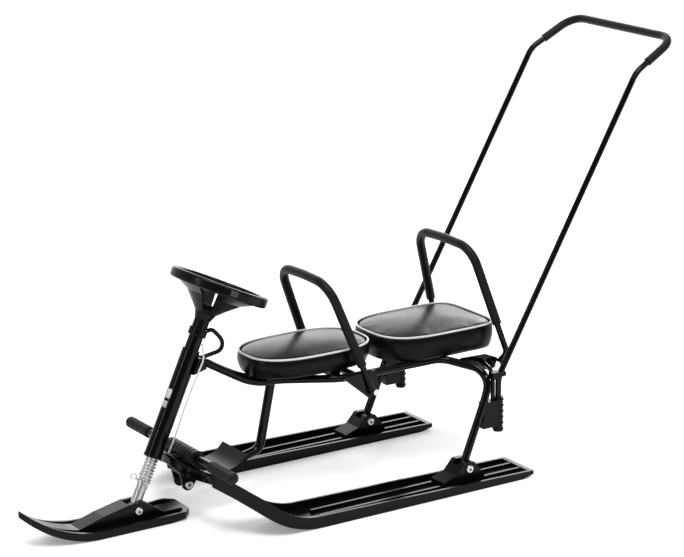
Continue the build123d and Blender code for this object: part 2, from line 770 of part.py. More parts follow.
def cord_radii(points):
    """The widest arc that each corner's two runs allow."""
    radii = []
    for before, corner, after in zip(points, points[1:], points[2:]):
        first = Vector(*corner) - Vector(*before)
        second = Vector(*after) - Vector(*corner)
        shorter = min(first.length, second.length)
        radii.append(0.45 * shorter / tan(radians(first.get_angle(second)) / 2))
    return radii


print("rope arc radii", [round(value) for value in cord_radii(rope_points)])
with BuildPart() as rope:
    round_bar(rope_points, cord_radii(rope_points), rope_radius)
print("rope length", round(rope.part.volume / (3.14159 * rope_radius ** 2)))
finish(rope, "tow_rope")

# ---------------------------------------------------------------- hoops and what carries them
hoop_front_foot = (-9.0, hoop_front_foot_half, 226.0)
hoop_front_top = (92.0, hoop_front_half, hoop_front_z)
hoop_front_mid = (93.0, 0, hoop_front_z + hoop_arch)
hoop_rear_foot = (-334.0, hoop_rear_foot_half, 235.0)
hoop_rear_knee = (-362.0, hoop_rear_foot_half + 9, 263.0)
hoop_rear_top = (-286.0, hoop_rear_half, hoop_rear_z)
hoop_rear_mid = (-285.0, 0, hoop_rear_z + hoop_arch)
arch_bend = 400.0


def hoop_route(points, middle):
    """A route up one side of a hoop, over its arched crossbar and down the other side."""
    return points + [middle] + mirrored(points[::-1])


with BuildPart() as hoop_bolts:
    for foot in (hoop_front_foot, hoop_rear_foot):
        for hand in (1, -1):
            inward = 14
            low = Plane(origin=(foot[0], hand * (foot[1] - inward), foot[2] + 6), z_dir=(0, hand, 0))
            with BuildSketch(low):
                Circle(3)
            extrude(amount=inward + hoop_tube + 4)
            for level, height in ((0, 2), (inward + hoop_tube, 4)):
                with BuildSketch(low.offset(level)):
                    Circle(7)
                extrude(amount=height)
finish(hoop_bolts, "hoop_bolts")

bends = [hoop_bend, arch_bend, hoop_bend]
with BuildPart() as hoop_front:
    round_bar(hoop_route([hoop_front_foot, hoop_front_top], hoop_front_mid), bends, hoop_tube)
    add(hoop_bolts.part, mode=Mode.SUBTRACT)
finish(hoop_front, "hoop_front")
with BuildPart() as sleeve_front:
    start = between(hoop_front_foot, hoop_front_top, 294)
    round_bar(hoop_route([start, hoop_front_top], hoop_front_mid), bends, hoop_sleeve)
    add(hoop_front.part, mode=Mode.SUBTRACT)
finish(sleeve_front, "hoop_front_sleeve")
with BuildPart() as hoop_rear:
    rear_points = [hoop_rear_foot, hoop_rear_knee, hoop_rear_top]
    round_bar(hoop_route(rear_points, hoop_rear_mid), [18, *bends, 18], hoop_tube)
    add(hoop_bolts.part, mode=Mode.SUBTRACT)
finish(hoop_rear, "hoop_rear")
with BuildPart() as sleeve_rear:
    start = between(hoop_rear_knee, hoop_rear_top, 334)
    round_bar(hoop_route([start, hoop_rear_top], hoop_rear_mid), bends, hoop_sleeve)
    add(hoop_rear.part, mode=Mode.SUBTRACT)
finish(sleeve_rear, "hoop_rear_sleeve")

cross_tube_half = hoop_front_foot_half - hoop_tube - plate_thickness
with BuildPart() as cross_tube:
    with BuildSketch(side_plane(0)):
        with Locations((16, backbone_z - 1)):
            Circle(8)
    extrude(amount=cross_tube_half, both=True)
    for piece in backbones:
        add(piece.part, mode=Mode.SUBTRACT)
finish(cross_tube, "cross_tube")

front_plate_y = cross_tube_half + plate_thickness / 2
rear_plate_y = hoop_rear_foot_half - hoop_tube - plate_thickness / 2
rear_plates = []
for side, hand in (("left", 1), ("right", -1)):
    with BuildPart() as plate:
        with BuildSketch(side_plane(hand * front_plate_y)) as gusset:
            with BuildLine():
                Polyline((62, 268), (-3, 214), (-29, 228), (-19, 279), (8, 276), (62, 274), close=True)
            make_face()
            fillet(gusset.vertices(), radius=2.5)
        extrude(amount=plate_thickness / 2, both=True)
        add(hoop_front.part, mode=Mode.SUBTRACT)
        add(hoop_bolts.part, mode=Mode.SUBTRACT)
    finish(plate, f"hoop_plate_front_{side}")

    with BuildPart() as rear_plate:
        with BuildSketch(side_plane(hand * rear_plate_y)) as strap:
            with BuildLine():
                Polyline((-244, 248), (-244, 266), (-316, 264), (-347, 251), (-342, 229), (-322, 226), close=True)
            make_face()
            fillet(strap.vertices(), radius=3)
        extrude(amount=plate_thickness / 2, both=True)
        add(hoop_rear.part, mode=Mode.SUBTRACT)
        add(hoop_bolts.part, mode=Mode.SUBTRACT)
        for piece in backbones:
            add(piece.part, mode=Mode.SUBTRACT)
        for solid in rear_plate.solids().sort_by(SortBy.VOLUME)[:-1]:
            add(solid, mode=Mode.SUBTRACT)
    rear_plates.append(rear_plate)
    finish(rear_plate, f"hoop_plate_rear_{side}")

# ---------------------------------------------------------------- seats
front_seat = (seat_front_nose_x, seat_front_half - 2, seat_front_tail_x, seat_front_half, 68, 38)
rear_seat = (seat_rear_nose_x, seat_rear_nose_half, seat_rear_tail_x, seat_rear_tail_half, 46, 34)


def seat_plan(sizes, z, inset=0.0):
    """Plan of a seat: blunt round nose, nearly straight sides, rounder at the front."""
    nose_x, nose_y, tail_x, tail_y, nose, tail = sizes
    with BuildSketch(Plane.XY.offset(z)) as plan:
        with BuildLine():
            Polyline(
                (nose_x - inset, nose_y - inset),
                (nose_x - inset, inset - nose_y),
                (tail_x + inset, inset - tail_y),
                (tail_x + inset, tail_y - inset),
                close=True,
            )
        make_face()
        fillet(plan.vertices().group_by(Axis.X)[-1], radius=nose - 0.5 * inset)
        fillet(plan.vertices().group_by(Axis.X)[0], radius=tail - 0.5 * inset)
    return plan.sketch.face()


for name, sizes, bottom in (("seat_front", front_seat, seat_front_bottom), ("seat_rear", rear_seat, seat_rear_bottom)):
    with BuildPart() as seat_board:
        extrude(seat_plan(sizes, bottom, 2), amount=board)
    finish(seat_board, f"{name}_board")
    with BuildPart() as pad:
        base = bottom + board + seat_gap
        extrude(seat_plan(sizes, base), amount=seat_top_z - base)
        # domed top above the piping
        dome = ((0, 0), (0.45, 12), (0.8, 28), (1, 48))
        loft([seat_plan(sizes, seat_top_z + share * pad_crown, inset) for share, inset in dome], ruled=True)
    finish(pad, f"{name}_pad")

tube_top = backbone_z + tube_radius
with BuildPart() as rails:
    for x, half_width in ((65, 84), (198, 32)):
        with BuildSketch(Plane.XY.offset(tube_top - 3)):
            with Locations((x, 0)):
                Rectangle(24, 2 * half_width)
        extrude(amount=seat_front_bottom - tube_top + 3)
    for piece in backbones:
        add(piece.part, mode=Mode.SUBTRACT)
finish(rails, "seat_rails")

# ---------------------------------------------------------------- push handle
knee_x = socket_x - (handle_knee_z - handle_bend_z) * tan(radians(handle_rake))
handle_corner = (socket_x, handle_half, handle_bend_z)
handle_knee = (knee_x, handle_half, handle_knee_z)
handle_end = (grip_tube - front_ski_tip_x, grip_half, grip_z)
handle_foot = (socket_x, handle_half, socket_low + 4)
clamp_x = socket_x - (clamp_z - handle_bend_z) * tan(radians(handle_rake))
with BuildPart() as handle:
    handle_side = [handle_foot, handle_corner, handle_knee, handle_end]
    round_bar(both_sides(handle_side), [60, 60, 45, 45, 60, 60], handle_tube)
    for hand in (1, -1):
        with Locations(Plane(origin=(clamp_x, hand * handle_half, clamp_z), z_dir=(1, 0, 0))):
            Cylinder(3, 40, mode=Mode.SUBTRACT)
finish(handle, "push_handle")
with BuildPart() as grip:
    start = tuple(a + 0.3 * (b - a) for a, b in zip(handle_knee, handle_end))
    round_bar(both_sides([start, handle_end]), [45, 45], grip_tube)
    add(handle.part, mode=Mode.SUBTRACT)
finish(grip, "handle_grip")

stay_x = socket_x + stay_gap
for side, hand in (("left", 1), ("right", -1)):
    with BuildPart() as stay:
        stay_y = handle_half - 4
        route = [(stay_x, stay_y, socket_top - 5), (stay_x, stay_y, clamp_z + 9), (stay_x - 14, rear_plate_y, clamp_z + 17)]
        round_bar([(x, hand * y, z) for x, y, z in route], [24], stay_tube)
        for piece in (*backbones, *rear_plates):
            add(piece.part, mode=Mode.SUBTRACT)
        for solid in stay.solids().sort_by(SortBy.VOLUME)[:-1]:
            add(solid, mode=Mode.SUBTRACT)
    finish(stay, f"handle_stay_{side}")

    with BuildPart() as socket:
        with BuildSketch(Plane.XY.offset(socket_low)):
            with Locations((socket_x, hand * handle_half)):
                Circle(socket_radius)
        extrude(amount=socket_top - socket_low)
        for step in range(6):
            with BuildSketch(Plane.XY.offset(socket_low + 4 + step * (socket_top - socket_low - 12) / 5)):
                with Locations((socket_x, hand * handle_half)):
                    Circle(socket_radius + 1.8)
            extrude(amount=4)
        with BuildSketch(Plane.XY.offset(socket_low + 14)):
            with Locations((socket_x + 26, hand * handle_half)):
                Rectangle(42, 20)
        extrude(amount=socket_top - socket_low - 20)
        for piece in (handle, stay, *backbones):
            add(piece.part, mode=Mode.SUBTRACT)
        for solid in socket.solids().sort_by(SortBy.VOLUME)[:-1]:
            add(solid, mode=Mode.SUBTRACT)
    finish(socket, f"handle_socket_{side}")

    with BuildPart() as clamp:
        with Locations(((clamp_x + stay_x) / 2 + 4, hand * (handle_half - 2), clamp_z)):
            Box(22, 18, 16)
        bolt_start = Plane(origin=(clamp_x + 6, hand * handle_half, clamp_z), z_dir=(-1, 0, 0))
        with BuildSketch(bolt_start):
            Circle(3)
        extrude(amount=20)
        with BuildSketch(bolt_start.offset(6 + handle_tube)):
            RegularPolygon(7, 6)
        extrude(amount=7)
        for piece in (handle, stay, *backbones):
            add(piece.part, mode=Mode.SUBTRACT)
        for solid in clamp.solids().sort_by(SortBy.VOLUME)[:-1]:
            add(solid, mode=Mode.SUBTRACT)
    finish(clamp, f"handle_clamp_{side}")
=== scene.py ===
# %% [markdown]
# This lesson dresses a two-seat sled stroller whose solids come from a CAD model. The
# solids give every shape that carries load. Here they get their finishes, and the soft
# pieces, the ribbed grips, the piping and the small fittings are added round them. All
# lengths are metres; +X points to the tip of the front ski, +Y to the rider's left.

import json
import math

import bmesh
import bpy
from mathutils import Matrix, Vector


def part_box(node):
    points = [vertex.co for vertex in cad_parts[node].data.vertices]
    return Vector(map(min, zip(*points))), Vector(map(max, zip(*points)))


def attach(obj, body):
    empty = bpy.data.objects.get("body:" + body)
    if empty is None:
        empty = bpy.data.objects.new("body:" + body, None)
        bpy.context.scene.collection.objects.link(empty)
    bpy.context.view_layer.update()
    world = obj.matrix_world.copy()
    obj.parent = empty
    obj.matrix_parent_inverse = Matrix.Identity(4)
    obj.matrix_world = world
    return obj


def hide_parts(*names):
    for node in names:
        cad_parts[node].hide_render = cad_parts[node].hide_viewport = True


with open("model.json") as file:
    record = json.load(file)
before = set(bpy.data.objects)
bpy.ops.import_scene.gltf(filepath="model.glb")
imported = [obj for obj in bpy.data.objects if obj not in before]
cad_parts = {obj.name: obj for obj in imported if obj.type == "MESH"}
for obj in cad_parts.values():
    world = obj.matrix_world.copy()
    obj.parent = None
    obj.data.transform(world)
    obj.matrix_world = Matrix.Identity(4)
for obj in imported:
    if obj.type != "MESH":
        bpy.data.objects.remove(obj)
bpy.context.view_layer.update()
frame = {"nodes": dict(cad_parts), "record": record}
scene = bpy.context.scene
nodes = frame["nodes"]
print("nodes", len(nodes))

# %% [markdown]
# Three bodies move against each other: the frame of the sled, everything that turns with
# the steering wheel, and the front ski that rocks on its bolt. New pieces ride on one of
# them by name. The raked steering axis is read from the joint that the frame carries.

# %% Bodies and the steering axis
FRAME = "root"
STEERING = "steering"
FRONT_SKI = "front_ski_body"
joints = {joint["name"]: joint for joint in frame["record"]["behaviour"]["joints"]}
pivot = Vector(joints["steer"]["pos_m"])
steer_axis = Vector(joints["steer"]["axis"]).normalized()
steer_forward = Vector((steer_axis.z, 0, -steer_axis.x))


def steer_point(distance, out=0.0, side=0.0):
    """A point along the steering axis from the ski's bolt, moved forwards and sideways."""
    return pivot + distance * steer_axis + out * steer_forward + Vector((0, side, 0))


print("steering axis", [round(v, 3) for v in steer_axis])

# %% [markdown]
# A camera is placed by the direction it looks from. A long lens from far away keeps the
# long sled from looking stretched, so its skis stay nearly parallel.

# %% Camera
AZIMUTH = math.radians(147.13)
ELEVATION = math.radians(15.42)
ROLL = math.radians(-0.48)
DISTANCE = 5.561
TARGET = Vector((-0.0079, 0, 0.4623))
SENSOR_WIDTH = 36
FOCAL_LENGTH = 131.58

back = Vector((
    math.sin(AZIMUTH) * math.cos(ELEVATION),
    -math.cos(AZIMUTH) * math.cos(ELEVATION),
    math.sin(ELEVATION),
))
level_right = Vector((math.cos(AZIMUTH), math.sin(AZIMUTH), 0))
level_up = back.cross(level_right)
right = math.cos(ROLL) * level_right + math.sin(ROLL) * level_up
up = math.cos(ROLL) * level_up - math.sin(ROLL) * level_right

camera_data = bpy.data.cameras.new("camera")
camera_data.sensor_width = SENSOR_WIDTH
camera_data.lens = FOCAL_LENGTH
camera = bpy.data.objects.new("camera", camera_data)
scene.collection.objects.link(camera)
turn_to_view = Matrix((right, up, back)).transposed().to_4x4()
camera.matrix_world = Matrix.Translation(TARGET + DISTANCE * back) @ turn_to_view
scene.camera = camera
print("camera at", [round(v, 3) for v in camera.matrix_world.translation])

# %% [markdown]
# Finishes are made from shader nodes. Writing node trees by hand is long and hard to read,
# so a small class wraps one socket and turns sums and products of sockets into Math
# nodes. One function makes every other node: it sets the settings first, then the
# sockets, because some settings change which sockets a node has.

# %% Shader arithmetic
def feed(tree, place, value):
    """Link a shade to a socket, or write a plain value on it."""
    if isinstance(value, Shade):
        tree.links.new(value.socket, place)
    else:
        place.default_value = value


def make_node(tree, kind, settings=None, inputs=None, output=0):
    """Add a node with its settings and the values or links of its sockets."""
    node = tree.nodes.new(kind)
    for key, value in (settings or {}).items():
        setattr(node, key, value)
    for key, value in (inputs or {}).items():
        feed(tree, node.inputs[key], value)
    return Shade(tree, node.outputs[output])


class Shade:
    """One output socket that can be used in sums, differences and products."""

    def __init__(self, tree, socket):
        self.tree = tree
        self.socket = socket

    def math(self, operation, first, second):
        settings = {"operation": operation}
        return make_node(self.tree, "ShaderNodeMath", settings, {0: first, 1: second})

    def __add__(self, other):
        return self.math("ADD", self, other)

    def __radd__(self, other):
        return self.math("ADD", other, self)

    def __sub__(self, other):
        return self.math("SUBTRACT", self, other)

    def __rsub__(self, other):
        return self.math("SUBTRACT", other, self)

    def __mul__(self, other):
        return self.math("MULTIPLY", self, other)

    def __rmul__(self, other):
        return self.math("MULTIPLY", other, self)


print("arithmetic on sockets: + - *")

# %% [markdown]
# Every finish of the sled is one Principled surface with a few patterns on it. A second
# class holds such a material and gives the patterns short names: noise for slow or fine
# unevenness, cells for grain and foam, bump for relief and two_tone for colour. Each
# finish starts from a plain colour and roughness; a pattern linked later takes over. A
# low shine keeps black surfaces black where they face a white studio.

# %% Finish of a surface
FIRST_COLOR, SECOND_COLOR, MIXED_COLOR = 6, 7, 2


class Finish:
    """A material with one Principled surface."""

    def __init__(self, name, color, roughness, metallic=0.0, shine=0.5):
        self.material = bpy.data.materials.new(name)
        self.material.use_nodes = True
        self.tree = self.material.node_tree
        self.surface = self.tree.nodes["Principled BSDF"]
        self.place = self.node("ShaderNodeTexCoord", output="Object")
        self.set("Base Color", (*color, 1))
        self.set("Roughness", roughness)
        self.set("Metallic", metallic)
        self.set("Specular IOR Level", shine)

    def set(self, name, value):
        feed(self.tree, self.surface.inputs[name], value)

    def node(self, kind, settings=None, inputs=None, output=0):
        return make_node(self.tree, kind, settings, inputs, output)

    def noise(self, scale, detail=3.0):
        inputs = {"Vector": self.place, "Scale": scale, "Detail": detail}
        return self.node("ShaderNodeTexNoise", None, inputs)

    def cells(self, scale):
        inputs = {"Vector": self.place, "Scale": scale}
        return self.node("ShaderNodeTexVoronoi", None, inputs, "Distance")

    def bump(self, height, strength, distance):
        inputs = {"Height": height, "Strength": strength, "Distance": distance}
        self.set("Normal", self.node("ShaderNodeBump", None, inputs))

    def two_tone(self, dark, light, share):
        inputs = {"Factor": share, FIRST_COLOR: (*dark, 1), SECOND_COLOR: (*light, 1)}
        mixed = self.node("ShaderNodeMix", {"data_type": "RGBA"}, inputs, MIXED_COLOR)
        self.set("Base Color", mixed)


print("patterns: noise, cells, bump, two_tone")

# %% [markdown]
# The frame tubes are powder coated in gloss black. Powder paint flows into a slightly
# uneven skin, the orange peel, which breaks up reflections a little. A weak, fine noise
# drives the bump, and a low roughness keeps the highlight along each tube narrow.

# %% Black paint
black_paint = Finish("black_powder_coat", (0.002, 0.002, 0.0022), 0.12, shine=0.22)
black_paint.bump(black_paint.noise(420.0, 2.0), 0.06, 0.0003)
black_paint.set("Roughness", 0.07 + 0.08 * black_paint.noise(14.0))
print(black_paint.material.name)

# %% [markdown]
# The skis are moulded in tough black plastic with a satin skin. Their noses and walls
# catch broad soft highlights, so the roughness sits in the middle and changes slowly
# over the surface, as worn plastic does. The same slow noise lightens the scuffed places.

# %% Ski plastic
ski_plastic = Finish("ski_plastic", (0.003, 0.003, 0.0035), 0.24, shine=0.18)
scuffs = ski_plastic.noise(9.0, 5.0)
ski_plastic.set("Roughness", 0.16 + 0.14 * scuffs)
ski_plastic.bump(ski_plastic.noise(260.0), 0.1, 0.0004)
ski_plastic.two_tone((0.002, 0.002, 0.0023), (0.006, 0.006, 0.0066), scuffs)
print(ski_plastic.material.name)

# %% [markdown]
# The wheel, the bearings, the sockets and the clamps are small hard mouldings with a fine
# grained skin. The rubber of the grips is duller and a shade lighter. The foam sleeves
# are full of tiny closed cells, which a Voronoi bump stands in for.

# %% Grained plastic, rubber and foam
dark_plastic = Finish("grained_plastic", (0.003, 0.003, 0.0033), 0.28, shine=0.17)
dark_plastic.bump(dark_plastic.noise(900.0, 2.0), 0.15, 0.0003)
dark_plastic.set("Roughness", 0.18 + 0.14 * dark_plastic.noise(22.0))

rubber = Finish("grip_rubber", (0.006, 0.006, 0.0063), 0.5, shine=0.25)
rubber.bump(rubber.noise(700.0, 2.0), 0.2, 0.0003)
rubber.set("Roughness", 0.36 + 0.2 * rubber.noise(30.0))

foam = Finish("foam_sleeve", (0.004, 0.004, 0.0042), 0.45, shine=0.22)
foam.bump(foam.cells(620.0), 0.35, 0.0006)
foam.set("Roughness", 0.34 + 0.2 * foam.noise(60.0))
print(dark_plastic.material.name, rubber.material.name, foam.material.name)

# %% [markdown]
# The seats are covered in black vinyl with a pebbled grain. The grain is a Voronoi
# pattern; over it a slow noise leaves the shallow unevenness of a cover stretched over
# foam. The white piping is the same vinyl, rolled round a cord.

# %% Vinyl and piping
vinyl = Finish("black_vinyl", (0.003, 0.0032, 0.0038), 0.26, shine=0.14)
grain = vinyl.cells(330.0)
swell = vinyl.noise(26.0, 2.0)
vinyl.bump(0.35 * grain + 0.65 * swell, 0.35, 0.0012)
vinyl.set("Roughness", 0.2 + 0.1 * swell + 0.08 * grain)

white_vinyl = Finish("white_piping", (0.78, 0.78, 0.78), 0.4)
white_vinyl.bump(white_vinyl.cells(500.0), 0.2, 0.0003)
print(vinyl.material.name, white_vinyl.material.name)

# %% [markdown]
# The steering strut and its spring are zinc plated. Zinc plate is a bright grey metal with
# faint cloudy patches, so a noise moves both its colour and its roughness. The bolts are
# a little brighter and smoother.

# %% Zinc and bolts
zinc = Finish("zinc_plate", (0.7, 0.69, 0.66), 0.3, metallic=1.0)
cloud = zinc.noise(48.0, 4.0)
zinc.two_tone((0.58, 0.57, 0.54), (0.8, 0.79, 0.76), cloud)
zinc.set("Roughness", 0.22 + 0.2 * cloud)

bolt_steel = Finish("bolt_steel", (0.76, 0.76, 0.77), 0.22, metallic=1.0)
bolt_steel.set("Roughness", 0.18 + 0.14 * bolt_steel.noise(90.0))
print(zinc.material.name, bolt_steel.material.name)

# %% [markdown]
# Two finishes are drawn with waves. The seat boards are dark stained plywood, whose fibres
# are distorted bands. The rope is braided from white strands, which show as fine slanting
# bands that are higher than the gaps between them; the gaps are painted darker, as painted
# shade that falls between the strands.

# %% Board and rope
board = Finish("dark_board", (0.06, 0.05, 0.045), 0.6)
fibre_inputs = {"Vector": board.place, "Scale": 30.0, "Distortion": 6.0}
fibres = board.node("ShaderNodeTexWave", None, fibre_inputs)
board.two_tone((0.045, 0.038, 0.033), (0.09, 0.075, 0.062), fibres)

rope_white = Finish("braided_rope", (0.78, 0.78, 0.77), 0.75)
strands_and_gap_shade = rope_white.node(
    "ShaderNodeTexWave",
    {"wave_type": "BANDS", "bands_direction": "DIAGONAL"},
    {"Vector": rope_white.place, "Scale": 260.0, "Distortion": 1.0},
)
rope_white.bump(strands_and_gap_shade, 0.5, 0.0006)
# The darker tone in the gaps is painted shade between the strands; the cord itself is white
# throughout.
rope_white.two_tone((0.62, 0.62, 0.61), (0.82, 0.82, 0.81), strands_and_gap_shade)
print(board.material.name, rope_white.material.name)

# %% [markdown]
# Each solid takes the finish of its material slot. The slots are written in the record
# that comes with the frame, so the finishes are handed out from there.

# %% Finishes on the solids
finishes = {
    "black_paint": black_paint, "ski_plastic": ski_plastic, "dark_plastic": dark_plastic,
    "rubber_grip": rubber, "foam": foam, "vinyl": vinyl, "zinc": zinc,
    "bolt_steel": bolt_steel, "board": board, "rope": rope_white,
}
for part in frame["record"]["subparts"]:
    data = nodes[part["node"]].data
    data.materials.clear()
    data.materials.append(finishes[part["material_slot"]].material)
print("slots", sorted(finishes))

# %% [markdown]
# Ropes, wires and piping are all a line with a round section. A curve with a bevel gives
# that: only the line's points are stored, and Blender draws the tube. A NURBS line stays
# smooth between few points; a poly line follows many points exactly. A curve gets all its
# settings before it is placed: changed later, it comes out a metre too large.

# %% Round lines
def place_piece(name, data, finish, body):
    """Put a finished mesh or curve into the scene on a body."""
    piece = bpy.data.objects.new(name, data)
    scene.collection.objects.link(piece)
    data.materials.append(finish.material)
    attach(piece, body)
    return piece


def round_line(name, points, radius, kind="NURBS", closed=False, steps=12):
    """A curve with a round section along a line of points."""
    curve = bpy.data.curves.new(name, "CURVE")
    curve.dimensions = "3D"
    curve.bevel_depth = radius
    curve.bevel_resolution = 3
    curve.resolution_u = steps
    line = curve.splines.new(kind)
    line.points.add(len(points) - 1)
    for point, place in zip(line.points, points):
        point.co = (*place, 1)
    if kind == "NURBS":
        line.order_u = 3
        line.use_endpoint_u = not closed
    line.use_cyclic_u = closed
    return curve


print("round lines ready")

# %% [markdown]
# The tow rope is a white braided cord. It hangs from the neck of the head tube, runs down
# beside the tube and is tied to the front yoke. A NURBS curve with the same corner points
# as the solid keeps its length and gives it one smooth line.

# %% Tow rope
ROPE_RADIUS = 0.002
rope_route = [
    steer_point(0.384, -0.0126, 0.0126),
    Vector((0.365, 0.031, 0.352)),
    Vector((0.377, 0.030, 0.328)),
    Vector((0.400, 0.028, 0.280)),
    Vector((0.419, 0.025, 0.235)),
    Vector((0.434, 0.014, 0.178)),
    Vector((0.446, 0.006, 0.1444)),
]
rope_line = round_line("rope_line", rope_route, ROPE_RADIUS, steps=16)
rope = place_piece("braided_tow_rope", rope_line, rope_white, FRAME)
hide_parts("tow_rope")

# %% [markdown]
# A wire clip crosses in front of the strut under the spring's seat and ends in a pull
# ring at its far side. The ring is the same wire closed on itself. Behind the head tube a
# thicker bent rod makes a hook for the rope.

# %% Wire clip, pull ring and rope hook
WIRE_RADIUS = 0.0012
HOOK_RADIUS = 0.0048
RING_RADIUS = 0.006
RING_POINTS = 8
RING_OVERSHOOT = 1.12
RING_SLANT = 0.45


def bent_rod(name, points, radius, finish, body, closed=False):
    """A smooth metal rod: a finer round line with closed ends."""
    line = round_line(name, points, radius, closed=closed)
    line.bevel_resolution = 4
    line.use_fill_caps = True
    return place_piece(name, line, finish, body)


ring_centre = Vector((0.5195, -0.0195, 0.0975))
ring_points = []
for count in range(RING_POINTS):
    turn = 2 * math.pi * count / RING_POINTS
    spoke = Vector((math.cos(turn), -RING_SLANT * math.cos(turn), math.sin(turn)))
    ring_points.append(ring_centre + RING_OVERSHOOT * RING_RADIUS * spoke)
bent_rod("pull_ring", ring_points, WIRE_RADIUS, zinc, STEERING, closed=True)

clip_route = [
    (0.515, -0.0175, 0.0925), (0.507, -0.0175, 0.087), (0.5065, 0.0, 0.087),
    (0.5075, 0.0195, 0.0875), (0.5085, 0.0205, 0.076), (0.5175, 0.0205, 0.098),
    (0.5264, 0.0205, 0.1204),
]
clip = bent_rod("clip_wire", clip_route, WIRE_RADIUS, zinc, STEERING)
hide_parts("ring_pin")

hook_route = [
    (0.352, 0, 0.393), (0.333, 0, 0.405), (0.317, 0, 0.391), (0.301, 0, 0.371),
    (0.306, 0, 0.350), (0.332, 0, 0.346), (0.359, 0, 0.342),
]
hook = bent_rod(
    "bent_rope_hook", hook_route, HOOK_RADIUS, black_paint, FRAME,
)
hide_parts("rope_hook")
print("ring radius", RING_RADIUS, "hook radius", HOOK_RADIUS)

# %% [markdown]
# Meshes are built from rings of points. One helper joins neighbouring rings with quads and
# another turns the finished shape into a piece. Round fittings such as grips are spun from
# a profile of (radius, distance) pairs, the way a lathe makes them.

# %% Mesh helpers and the lathe
def bridge(shape, rings):
    """Join each ring of points to the next one with quads."""
    count = len(rings[0])
    for low, high in zip(rings, rings[1:]):
        for step in range(count):
            after = (step + 1) % count
            shape.faces.new((low[step], low[after], high[after], high[step]))


def mesh_of(name, shape):
    """Store a bmesh shape as a mesh and free it."""
    mesh = bpy.data.meshes.new(name)
    shape.to_mesh(mesh)
    shape.free()
    return mesh


def add_mesh(name, shape, finish, body, smooth=True):
    """Make a piece from a bmesh shape."""
    mesh = mesh_of(name, shape)
    for face in mesh.polygons:
        face.use_smooth = smooth
    return place_piece(name, mesh, finish, body)


def turned(name, profile, start, direction, finish, body, steps):
    """Spin (radius, distance) pairs round the line from start along direction."""
    spin = Vector((0, 0, 1)).rotation_difference(Vector(direction).normalized())
    shape = bmesh.new()
    rings = []
    for radius, distance in profile:
        ring = []
        for step in range(steps):
            turn = 2 * math.pi * step / steps
            spot = Vector((radius * math.cos(turn), radius * math.sin(turn), distance))
            ring.append(shape.verts.new(Vector(start) + spin @ spot))
        rings.append(ring)
    bridge(shape, rings)
    shape.faces.new(rings[0][::-1])
    shape.faces.new(rings[-1])
    return add_mesh(name, shape, finish, body)


print("lathe ready")

# %% [markdown]
# The foot bar ends in two rubber grips with rounded ribs all round, so that boots don't
# slip off. Ribs this deep show on the outline, so they are turned as geometry.

# %% Ribbed foot grips
RIB_COUNT = 14
RIB_DEPTH = 0.0016
PLAIN_ENDS = 0.012
FIRST_RIB = 0.004
GRIP_STEPS = 48


def grip_profile(radius, length):
    """Profile of a ribbed grip from its inner to its outer end."""
    pitch = (length - PLAIN_ENDS) / RIB_COUNT
    profile = [(radius - 0.004, 0), (radius, 0.001)]
    for rib in range(RIB_COUNT):
        begin = FIRST_RIB + rib * pitch
        profile += [
            (radius - RIB_DEPTH, begin), (radius - RIB_DEPTH, begin + 0.25 * pitch),
            (radius, begin + 0.45 * pitch), (radius, begin + 0.85 * pitch),
        ]
    rounded_end = [(radius, length - 0.006), (radius - 0.002, length - 0.002)]
    return profile + rounded_end + [(radius - 0.006, length)]


for side, outward in (("left", 1), ("right", -1)):
    node = f"foot_grip_{side}"
    low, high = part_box(node)
    centre = (low + high) / 2
    start = Vector((centre.x, low.y if outward > 0 else high.y, centre.z))
    grip = turned(
        f"ribbed_foot_grip_{side}", grip_profile((high.z - low.z) / 2, high.y - low.y),
        start, (0, outward, 0), rubber, FRAME, GRIP_STEPS,
    )
    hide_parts(node)
print("ribs a grip", RIB_COUNT)

# %% [markdown]
# From above each seat is a rounded oblong, a superellipse: |x/a|^n + |y/b|^n = 1, where a
# larger n means squarer corners. Each seat has one n for its front half and one for its
# rear half; only the rear edge of the rear seat is nearly square. A list of evenly spaced
# points on that outline serves the cushion, its skirt, its piping and its board.

# %% Outline of a seat
CORNER_POWER = {"seat_front": (2.7, 2.9), "seat_rear": (3.0, 5.5)}
PIPING_INSET = 0.0035
OUTLINE_POINTS = 120
FINE_POINTS = 1440


def fine_outline(name, inset):
    """Closely spaced, uneven points of a seat's superellipse, anticlockwise."""
    low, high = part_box(f"{name}_pad")
    middle = (low + high) / 2
    half_x = (high.x - low.x) / 2 - inset
    half_y = (high.y - low.y) / 2 - inset
    front_power, rear_power = CORNER_POWER[name]
    points = []
    for step in range(FINE_POINTS):
        turn = 2 * math.pi * step / FINE_POINTS
        cos, sin = math.cos(turn), math.sin(turn)
        bend = 2 / (front_power if cos > 0 else rear_power)
        points.append(Vector((
            middle.x + half_x * math.copysign(abs(cos) ** bend, cos),
            middle.y + half_y * math.copysign(abs(sin) ** bend, sin),
        )))
    return points


def seat_outline(name, inset):
    """Evenly spaced points of a seat's outline and the outward normals there."""
    fine = fine_outline(name, inset)
    lengths = [(b - a).length for a, b in zip(fine, fine[1:] + fine[:1])]
    spots, index, passed = [], 0, 0.0
    for step in range(OUTLINE_POINTS):
        target = sum(lengths) * step / OUTLINE_POINTS
        while passed + lengths[index] < target:
            passed += lengths[index]
            index += 1
        share = (target - passed) / lengths[index]
        spots.append(fine[index].lerp(fine[(index + 1) % len(fine)], share))
    normals = []
    for step in range(OUTLINE_POINTS):
        along = spots[(step + 1) % OUTLINE_POINTS] - spots[step - 1]
        normals.append(Vector((along.y, -along.x)).normalized())
    return spots, normals


print("outline points", OUTLINE_POINTS, "corner powers", CORNER_POWER)

# %% [markdown]
# The seat pads are foam under a vinyl cover. Each cushion starts as a shallow dome over the
# outline, a little smaller than the real one, with a short wall that the skirt will hide.
# The crown is low: the far piping of a real seat can be seen over it from the side.

# %% Dome of a cushion
SEAM_DROP = 0.022
CROWN = 0.0125
CROWN_POWER = 2.2
DOME_RINGS = 10
DOME_WALL = 0.018
DOME_INSET = PIPING_INSET + 0.002


